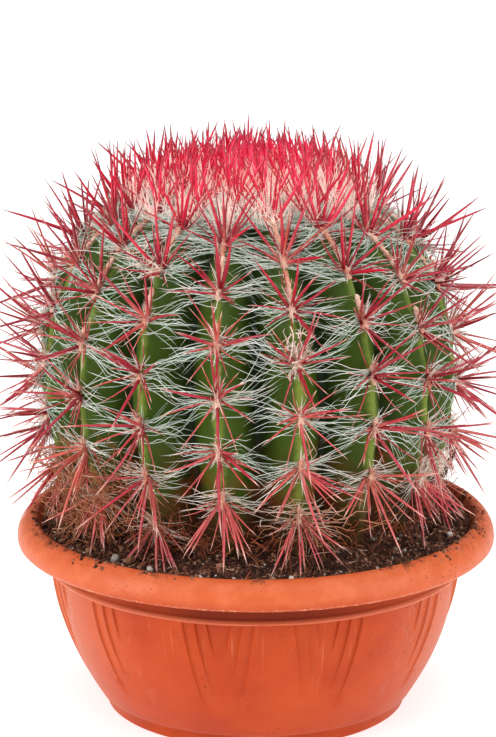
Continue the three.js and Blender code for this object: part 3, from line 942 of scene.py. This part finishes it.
def makeSpines(material):
    random = Draws(spines)
    strands = Strands()
    kinds = [(*row, False) for row in spines["stout"]] + [(*row, True) for row in spines["slender"]]
    clusterShare, ownShare = spines["tintShares"]
    slenderYoung, slenderOld = spines["slenderAge"]
    for spot in areoles:
        clusterTint = random.random()
        warmth = spines["warmth"] * (spot.warm and spot.age > spines["warmAge"])
        young, old = 1 - ease(spot.age, *spines["youngAge"]), ease(spot.age, *spines["oldAge"])
        thinAge = slenderYoung + slenderOld * ease(spot.age, *spines["slenderAges"])
        loss = spines["crownLoss"] * (1 - min(spot.down / spines["crowdedArc"], 1))
        root = spot.place - spot.out * spines["rootDepth"]
        clusterTurn = random.spread("clusterTurn")
        for turn, lean, length, thickness, thin in kinds:
            if random.random() < loss or (thin and young * random.random() > spines["slenderKept"]):
                continue
            lean = lean + random.spread("spread")
            turn = spineTurn(turn, young, old) + clusterTurn + random.spread("spread")
            aim = aimFrom(spot, lean, turn) + (0, 0, spines["lift"] * young - spines["droop"] * old)
            length *= random.span("lengths")
            reach = keepClear(root, aim / np.linalg.norm(aim), length)
            length = np.linalg.norm(reach)
            aim = reach / length
            length = trimmed(root, aim, length, random.span("highSpread"))
            bend = random.spread("bow", 3) * (spines["slenderBow"] if thin else 1.0)
            bend = bend - aim * float(bend @ aim)
            tint = min(clusterShare * clusterTint + ownShare * random.random() + warmth, 1)
            thickness *= random.span("thicknesses") * (1 + spines["youngStout"] * young)
            age = spot.age + thinAge * thin
            strands.put(root, aim, length + spines["rootDepth"], thickness, bend, tint=tint, age=age)
    strands.build("spines", "spines", material, spines["strand"])


def spineMaterial():
    horn = dict(
        crimson=rgb(214, 14, 54), scarlet=rgb(255, 42, 92), wine=rgb(144, 8, 36), rose=rgb(178, 34, 58),
        salmon=rgb(200, 80, 82), orange=rgb(204, 98, 66), rust=rgb(138, 60, 42), darkTip=rgb(84, 10, 22),
        paleTip=rgb(240, 204, 184), darkRoot=rgb(110, 4, 18), paleRoot=rgb(244, 150, 134),
    )
    material, nodes = makeMaterial("redHorn")
    along, tint, age = nodes.trait("along"), nodes.trait("tint"), nodes.trait("age")
    streak = nodes.grain(650.0, 3.0)
    lowest = age.rise(0.6, 0.95)
    shade = nodes.math("MINIMUM", age, 1.0) + (tint - 0.5) * (0.24 + 0.6 * lowest) + (streak - 0.5) * 0.45
    # the young crown spines' own vivid red is painted brighter still (scarlet, crimson), as painted light
    # from above
    stages = zip((0.0, 0.2, 0.45, 0.7, 0.95), ("scarlet", "crimson", "wine", "rose", "salmon"))
    colour = nodes.ramp(shade, *((stage, horn[name]) for stage, name in stages))
    colour = nodes.blend(tint.rise(0.82, 0.92) * 0.5, colour, horn["orange"])
    rootColour = nodes.blend(tint.rise(0.45, 0.6), horn["darkRoot"], horn["paleRoot"])
    colour = nodes.blend(along.fall(0.05, 0.4) * 0.6, colour, rootColour)
    soiled = lowest * nodes.grain(75.0, 3.0).rise(0.42, 0.6)
    colour = nodes.blend(soiled * 0.5, colour, horn["rust"])
    tipColour = nodes.blend(age.rise(0.3, 0.7), horn["darkTip"], horn["paleTip"])
    colour = nodes.blend(along.rise(0.7, 1.0) * 0.85, colour, tipColour)
    nodes.paint(Base_Color=colour, Roughness=0.2, Specular_IOR_Level=0.6)
    rings = nodes.math("SINE", along * 150.0) * 0.5 + 0.5
    nodes.emboss(rings * 0.5 + streak * 0.5, 0.0002, 0.5)
    return material


# Bristles

bristles = dict(
    perSide=20, extraYoung=9, fewerOld=6,
    extraZone=((0.030, 0.045), (0.075, 0.100)),  # distances down over which the extra ones come and go
    youngAge=(0.1, 0.45), oldAge=(0.7, 1.0), turn=14, oldTurn=14, leans=(66, 94), rootSpread=0.0032,
    rootDepth=0.0012, lengths=(0.016, 0.034), oldShorter=0.25, thicknesses=(0.00018, 0.00030),
    sink=0.0055, sinks=(0.3, 1.2), fall=0.0045, fallSpread=0.8, droop=0.9, wave=0.0019, outWave=0.0007,
    phaseSpread=0.1, tint=0.3, oldTint=0.3, crownTint=0.35, tintSpread=0.18,
    short=14, shortTurns=((180, 30), (0, 28), (0, 28)), shortZone=(-0.003, 0.004), shortTrail=0.016,
    shortLeans=(40, 78), shortLengths=(0.008, 0.016), shortThicknesses=(0.00016, 0.00026),
    shortDepth=0.0008, shortBow=0.001, shortTints=(0.5, 1.0),
    strand=dict(Sides=3, Segments=5, Taper=0.35, Waves=0.9), seed=21,
)


def makeBristles(material):
    random = Draws(bristles)
    sets = {"bristlesFront": Strands(), "bristlesBack": Strands()}
    comes, goes = bristles["extraZone"]
    low, high = bristles["shortZone"]
    for spot in areoles:
        strands = sets["bristlesFront" if spot.place[1] < 0 else "bristlesBack"]
        young, old = 1 - ease(spot.age, *bristles["youngAge"]), ease(spot.age, *bristles["oldAge"])
        extra = ease(spot.down, *comes) * (1 - ease(spot.down, *goes))
        perSide = round(bristles["perSide"] + bristles["extraYoung"] * extra - bristles["fewerOld"] * old)
        usualTint = bristles["tint"] + bristles["oldTint"] * old + bristles["crownTint"] * spot.crown
        for way in (-1, 1):
            droop = random.spread("droop")
            sway, beat = random.spread("wave"), random.random()
            for _ in range(perSide):
                turn = way * (90 + random.spread("turn") + bristles["oldTurn"] * old)
                lean = random.span("leans")
                root = spot.place + spot.up * random.spread("rootSpread")
                root = root - spot.out * bristles["rootDepth"]
                length = random.span("lengths") * (1 - bristles["oldShorter"] * old)
                aim = keepClear(root, aimFrom(spot, lean, turn), length)
                bend = -spot.out * random.span("sinks") * bristles["sink"]
                fall = random.spread("fallSpread") + droop
                bend = bend + spot.up * fall * bristles["fall"]
                wave = spot.up * (sway + random.normal(0, bristles["wave"] * 0.5))
                wave = wave + spot.out * random.spread("outWave")
                tint = clamp(random.normal(usualTint, bristles["tintSpread"]))
                thickness = random.span("thicknesses")
                phase = beat + random.spread("phaseSpread")
                strands.put(root, aim, np.linalg.norm(aim), thickness, bend, wave, phase, tint, spot.age)
        for k in range(bristles["short"]):
            turn = random.normal(*bristles["shortTurns"][k % 3])
            near = upCrest(spot, random.uniform(low, high + bristles["shortTrail"] * young))
            aim = aimFrom(near, random.span("shortLeans"), turn)
            root = near.place - near.out * bristles["shortDepth"]
            length = random.span("shortLengths")
            thickness = random.span("shortThicknesses")
            bend = random.spread("shortBow", 3)
            tint = random.span("shortTints")
            strands.put(root, aim, length, thickness, bend, tint=tint, age=spot.age)
    for name, strands in sets.items():
        strands.build(name, "hairs", material, bristles["strand"])


def bristleMaterial():
    white, green, pink, tan = rgb(231, 234, 226), rgb(164, 186, 168), rgb(255, 212, 202), rgb(196, 150, 122)
    material, nodes = makeMaterial("paleBristle")
    tint, age, along = nodes.trait("tint"), nodes.trait("age"), nodes.trait("along")
    colour = nodes.ramp(tint, (0.1, green), (0.42, white), (0.64, white), (0.88, pink))
    colour = nodes.blend(age.rise(0.75, 1.0) * 0.55, colour, tan)
    colour = nodes.blend(along.fall(0.0, 0.2) * 0.4, colour, pink)
    through = 0.04 + 0.34 * age.fall(0.0, 0.12)  # painted light: the hairs glow, most in the crown, standing in for light that passes through them
    glow = nodes.blend(through, (0, 0, 0, 1), colour)
    nodes.paint(Base_Color=colour, Roughness=0.6, Specular_IOR_Level=0.3)
    nodes.paint(Emission_Color=glow, Emission_Strength=1.0)
    return material


# Crown hairs, dried remains and rootlets

crownHairs = dict(
    count=2400, nearest=0.002, reach=0.066, lengths=(0.010, 0.021), thicknesses=(0.00016, 0.00026),
    sideways=0.0045, rootDepth=0.0015, outwards=0.3, spread=0.34, bow=0.0015, wave=0.0004,
    tints=(0.72, 1.0), strand=dict(Sides=3, Segments=4, Taper=0.4, Waves=1.0), seed=41,
)


def makeCrownHairs(material):
    random = Draws(crownHairs)
    strands = Strands()
    for _ in range(crownHairs["count"]):
        rib = random.integers(ribs["Ribs"])
        spot = areoleAt(rib, crownHairs["reach"] * math.sqrt(random.uniform(crownHairs["nearest"], 1)))
        root = spot.place + spot.side * random.spread("sideways")
        root = root - spot.out * crownHairs["rootDepth"]
        aim = np.array((0, 0, 1.0)) + spot.out * crownHairs["outwards"]
        aim = aim + random.spread("spread", 3)
        length = random.span("lengths")
        thickness = random.span("thicknesses")
        curve = random.curve()
        strands.put(root, aim, length, thickness, *curve, random.span("tints"))
    strands.build("crownHairs", "hairs", material, crownHairs["strand"])


dried = dict(
    # azimuth, height, stand-off, sideways and upward spread, count, lengths, root radius, tone, curl
    clumps=[
        (-58, 0.126, 0.007, 0.014, 0.012, 330, (0.010, 0.026), 0.00024, 0.44, 0.006),
        (-42, 0.138, 0.004, 0.011, 0.009, 150, (0.008, 0.022), 0.00020, 0.5, 0.006),
        (-35, 0.2475, 0.003, 0.008, 0.003, 46, (0.005, 0.013), 0.00034, 0.95, 0.003),
        (12.5, 0.2125, 0.004, 0.003, 0.006, 40, (0.004, 0.010), 0.00034, 0.97, 0.0028),
        (10, 0.2055, 0.005, 0.003, 0.003, 16, (0.003, 0.008), 0.00032, 0.7, 0.003),
        (62, 0.140, 0.004, 0.011, 0.004, 90, (0.008, 0.018), 0.00026, 0.88, 0.0035),
        (81, 0.132, 0.004, 0.004, 0.007, 26, (0.006, 0.014), 0.00028, 0.9, 0.003),
        (18, 0.122, 0.001, 0.010, 0.006, 60, (0.010, 0.022), 0.00024, 0.62, 0.003),
        (-20, 0.120, 0.001, 0.009, 0.005, 50, (0.008, 0.018), 0.00020, 0.25, 0.003),
    ],
    ringEvery=18, ringClump=(0.116, -0.003, 0.012, 0.004, 34, (0.006, 0.016), 0.00022, 0.30, 0.003),
    # azimuth, height, stand-off, aim and bend as parts outwards, up and sideways, length, radius, tone
    singles=[
        (-45, 0.143, 0.012, (0, 1, 0.6), (0, -0.036, 0), 0.040, 0.0009, 0.22),
        (80, 0.126, 0.002, (0.15, 1, 0), (0, 0, 0.001), 0.017, 0.0016, 0.0),
    ],
    aims=(1, 0.8, 0.25),  # sideways and upward spread, and how far outwards
    thicknesses=(0.6, 1.4), wave=0.0011, toneSpread=0.1,
    strand=dict(Sides=4, Segments=7, Taper=0.3, Waves=1.6), seed=51,
)


def surfaceSpot(azimuth, height):  # the frame of a place on the crests' envelope
    spot = areoleAt(0, crestLength - np.interp(height, crestHeight, crestArc))
    turn = math.radians(azimuth - ribs["First Rib"] - twistAt(height))
    cos, sin = math.cos(turn), math.sin(turn)
    spin = np.array(((cos, -sin, 0), (sin, cos, 0), (0, 0, 1)))
    axis = np.array((stemCentreX, 0, 0))
    spot.place = spin @ (spot.place - axis) + axis
    spot.out, spot.up, spot.side = (spin @ way for way in (spot.out, spot.up, spot.side))
    return spot


def makeDried(material):
    random = Draws(dried)
    strands = Strands()
    sidewaysAim, upwardAim, outwardAim = dried["aims"]
    ring = [(azimuth, *dried["ringClump"]) for azimuth in range(0, 360, dried["ringEvery"])]
    for clump in dried["clumps"] + ring:
        azimuth, height, standOff, sideways, upward, count, lengths, radius, tone, curl = clump
        spot = surfaceSpot(azimuth, height)
        for _ in range(count):
            root = spot.place + spot.out * (standOff * random.uniform(-1.0, 1.0))
            root = root + spot.side * random.normal(0, sideways) + spot.up * random.normal(0, upward)
            aim = spot.side * random.normal(0, sidewaysAim) + spot.up * random.normal(0, upwardAim)
            aim = aim + spot.out * outwardAim
            length = random.uniform(*lengths)
            aim = keepClear(root, aim / np.linalg.norm(aim), length)
            wave = random.spread("wave", 3)
            thickness = radius * random.span("thicknesses")
            bend, phase = random.normal(0, curl, 3), random.random()
            tint = clamp(random.normal(tone, dried["toneSpread"]))
            strands.put(root, aim, length, thickness, bend, wave, phase, tint)
    for azimuth, height, standOff, aim, bend, length, radius, tone in dried["singles"]:
        spot = surfaceSpot(azimuth, height)
        ways = np.array((spot.out, spot.up, spot.side))
        strands.put(spot.place + spot.out * standOff, aim @ ways, length, radius, bend @ ways, tint=tone)
    strands.build("driedRemains", "dry_fibre", material, dried["strand"])


rootlets = dict(
    count=420, zone=(0.084, 0.1115), reach=0.111, lift=0.0006, tilt=0.15, lengths=(0.003, 0.010),
    thicknesses=(0.00012, 0.00034), bow=0.0012, wave=0.0005, flatBow=(1, 1, 0.4), flatWave=(1, 1, 0.3),
    tints=(0.1, 0.2, 0.4, 0.55, 0.75), strand=dict(Sides=4, Segments=5, Taper=0.3, Waves=1.2), seed=61,
)


def makeRootlets(material):
    random = Draws(rootlets)
    strands = Strands()
    for spot in scatterOnSoil(random, rootlets["count"], *rootlets["zone"]):
        turn = random.uniform(0, 2 * math.pi)
        aim = np.array((math.cos(turn), math.sin(turn), random.spread("tilt")))
        tip = spot + aim * random.span("lengths")
        tip[:2] *= min(1, rootlets["reach"] / math.hypot(tip[0], tip[1]))
        tip[2] = soilTop(tip[0], tip[1]) + rootlets["lift"]
        root = spot + (0, 0, rootlets["lift"])
        thickness = random.span("thicknesses")
        bend, wave, phase = random.curve()
        curve = (bend * rootlets["flatBow"], wave * rootlets["flatWave"], phase)
        tint = random.choice(rootlets["tints"])
        strands.put(root, tip - root, np.linalg.norm(tip - root), thickness, *curve, tint)
    strands.build("rootlets", "dry_fibre", material, rootlets["strand"])


def driedMaterial():
    bark, rust, tan, pale = rgb(44, 24, 16), rgb(150, 76, 46), rgb(196, 140, 104), rgb(240, 222, 208)
    material, nodes = makeMaterial("driedFibre")
    tone = nodes.trait("tint") + (nodes.grain(500.0, 3.0) - 0.5) * 0.25
    colour = nodes.ramp(tone, (0.02, bark), (0.35, rust), (0.65, tan), (0.92, pale))
    nodes.paint(Base_Color=colour, Roughness=0.85, Specular_IOR_Level=0.2)
    nodes.emboss(nodes.grain(900.0, 3.0), 0.0004)
    return material


# Felt and wool

wool = dict(
    padSize=(0.0017, 0.0018, 0.0027), padStep=0.0028, padStart=0.8, padDepth=0.0002, padTilt=0.15,
    padStretch=(0.75, 1.1), pads=3, morePads=7, narrowing=0.35, youngAge=(0.3, 0.65),
    lump=dict(Subdivisions=2, Roughness=0.5, Pitch=900.0),
    fuzz=34, crownFuzz=46, fuzzLengths=(0.003, 0.006), crownLonger=1.4, fuzzThicknesses=(0.00012, 0.0002),
    fuzzZone=(-0.0035, 0.0045), fuzzTrail=0.018, fuzzSideways=0.0011, fuzzOutwards=0.7, fuzzSpread=0.55,
    bow=0.0012, wave=0.0004, strand=dict(Sides=3, Segments=3, Taper=0.5, Waves=1.0), seed=31,
)


def makeWool(padMaterial, fuzzMaterial):
    random = Draws(wool)
    strands, pads = Strands(), []
    low, high = wool["fuzzZone"]
    for spot in areoles:
        young = 1 - ease(spot.age, *wool["youngAge"])
        count = wool["pads"] + round(wool["morePads"] * young)
        for k in range(count):
            narrow = 1 - wool["narrowing"] * k / count
            near = upCrest(spot, (k - wool["padStart"]) * wool["padStep"])
            aim = near.up + random.spread("padTilt", 3)
            size = np.array(wool["padSize"]) * random.span("padStretch", 3) * (narrow, narrow, 1)
            pads.append((near.place - near.out * wool["padDepth"], aim, size, random.random()))
        for _ in range(round(wool["fuzz"] + (wool["crownFuzz"] - wool["fuzz"]) * spot.crown)):
            near = upCrest(spot, random.uniform(low, high + wool["fuzzTrail"] * young))
            aim = near.out * wool["fuzzOutwards"] + random.spread("fuzzSpread", 3)
            length = random.span("fuzzLengths") * (1 + wool["crownLonger"] * spot.crown)
            root = near.place + near.side * random.spread("fuzzSideways")
            thickness = random.span("fuzzThicknesses")
            curve = random.curve()
            strands.put(root, aim, length, thickness, *curve, random.random(), spot.age)
    places, *columns = (np.array(column) for column in zip(*pads))
    traits = dict(zip(("aim", "size", "tone"), columns))
    lumps("areoleFelt", "wool", padMaterial, places, traits, wool["lump"])
    strands.build("areoleWool", "wool", fuzzMaterial, wool["strand"])


def feltMaterial():
    cream, pink, brown = rgb(248, 214, 190), rgb(232, 164, 138), rgb(186, 108, 84)
    material, nodes = makeMaterial("areoleFelt")
    tufts = nodes.grain(1400.0, 4.0, 0.7)
    tone = nodes.trait("tone") * 0.5 + tufts * 0.5
    colour = nodes.ramp(tone, (0.2, brown), (0.45, pink), (0.7, cream))
    nodes.paint(Base_Color=colour, Roughness=0.9, Specular_IOR_Level=0.2)
    nodes.emboss(tufts, 0.0008)
    return material


def woolMaterial():
    cream, pink, tan = rgb(248, 216, 196), rgb(236, 150, 132), rgb(190, 120, 92)
    material, nodes = makeMaterial("paleWool")
    colour = nodes.ramp(nodes.trait("tint"), (0.15, pink), (0.6, cream))
    colour = nodes.blend(nodes.trait("age").rise(0.7, 1.0) * 0.7, colour, tan)
    nodes.paint(Base_Color=colour, Roughness=0.8, Specular_IOR_Level=0.2)
    return material


# Stage, light and camera

stage = dict(
    halfWidth=9, greys=(0.74, 0.76), glow=0.56, lightTarget=(0, 0, 0.15),
    # name, place, width and height, power
    softboxes=[
        ("leftSoftbox", (-1.35, -0.75, 0.75), (0.7, 1.2), 19.5),
        ("rightSoftbox", (1.35, -0.75, 0.75), (0.7, 1.2), 15.5),
    ],
    sunPlace=(0.1, -0.5, 3.0), sunStrength=1.9, sunAngle=55, skyStrength=0.3,
)


def makeStage(material):
    half = stage["halfWidth"]
    corners = [(-half, -half, 0), (half, -half, 0), (half, half, 0), (-half, half, 0)]
    meshOf("paleFloor", corners, [(0, 1, 2, 3)], material)


def floorMaterial():
    material, nodes = makeMaterial("paleFloor")
    darker, lighter = ((grey, grey, grey, 1.0) for grey in stage["greys"])
    colour = nodes.ramp(nodes.grain(3.0, 2.0), (0.3, darker), (0.7, lighter))
    nodes.paint(Base_Color=colour, Roughness=0.8, Specular_IOR_Level=0.1)
    nodes.paint(Emission_Color=(1, 1, 1, 1), Emission_Strength=stage["glow"])
    return material


def makeLights():
    for name, place, span, power in stage["softboxes"]:
        lamp = bpy.data.lights.new(name, "AREA")
        lamp.shape = "RECTANGLE"
        lamp.size, lamp.size_y = span
        lamp.energy = power
        aimLight(lamp, place)
    overhead = bpy.data.lights.new("overhead", "SUN")
    overhead.energy = stage["sunStrength"]
    overhead.angle = math.radians(stage["sunAngle"])
    aimLight(overhead, stage["sunPlace"])
    world = bpy.data.worlds.new("studio")
    world.use_nodes = True
    sky = world.node_tree.nodes["Background"].inputs
    sky["Color"].default_value = (1, 1, 1, 1)
    sky["Strength"].default_value = stage["skyStrength"]
    bpy.context.scene.world = world
    bpy.context.scene.view_settings.view_transform = "Standard"


def aimLight(lamp, place):
    holder = addObject(lamp.name, lamp)
    holder.location = place
    toPlant = Vector(stage["lightTarget"]) - Vector(place)
    holder.rotation_euler = toPlant.to_track_quat("-Z", "Y").to_euler()


camera = dict(
    target=(-0.0041, 0.0, 0.1784), distance=1.4, elevation=14.0, focalPixels=2700.0, imageHeight=737,
    sensor=36.0,
)


def makeCamera():
    tilt = math.radians(camera["elevation"])
    eye = bpy.data.cameras.new("camera")
    eye.sensor_width = camera["sensor"]
    eye.lens = camera["focalPixels"] * camera["sensor"] / camera["imageHeight"]
    holder = addObject("camera", eye)
    back = Vector((0, -math.cos(tilt), math.sin(tilt)))
    holder.location = Vector(camera["target"]) + back * camera["distance"]
    holder.rotation_euler = (math.radians(90) - tilt, 0, 0)
    bpy.context.scene.camera = holder


makeCamera()
makeLights()
makeStage(floorMaterial())
makePot(potMaterial())
print("pot made")
earth = soilMaterial()
makeSoilBed(earth)
makeCrumbs(earth)
makeSpilt(earth)
makeGrit(gritMaterial())
print("soil made")
makeStem(stemMaterial())
print("stem made")
makeSpines(spineMaterial())
print("spines made")
paleBristle = bristleMaterial()
makeBristles(paleBristle)
makeCrownHairs(paleBristle)
print("bristles made")
driedFibre = driedMaterial()
makeDried(driedFibre)
makeRootlets(driedFibre)
print("dried remains made")
makeWool(feltMaterial(), woolMaterial())
print("wool made")

for piece in bpy.context.scene.objects:
    if piece.type == "MESH":
        print(piece.name, "triangles:", sum(len(p.vertices) - 2 for p in piece.data.polygons))
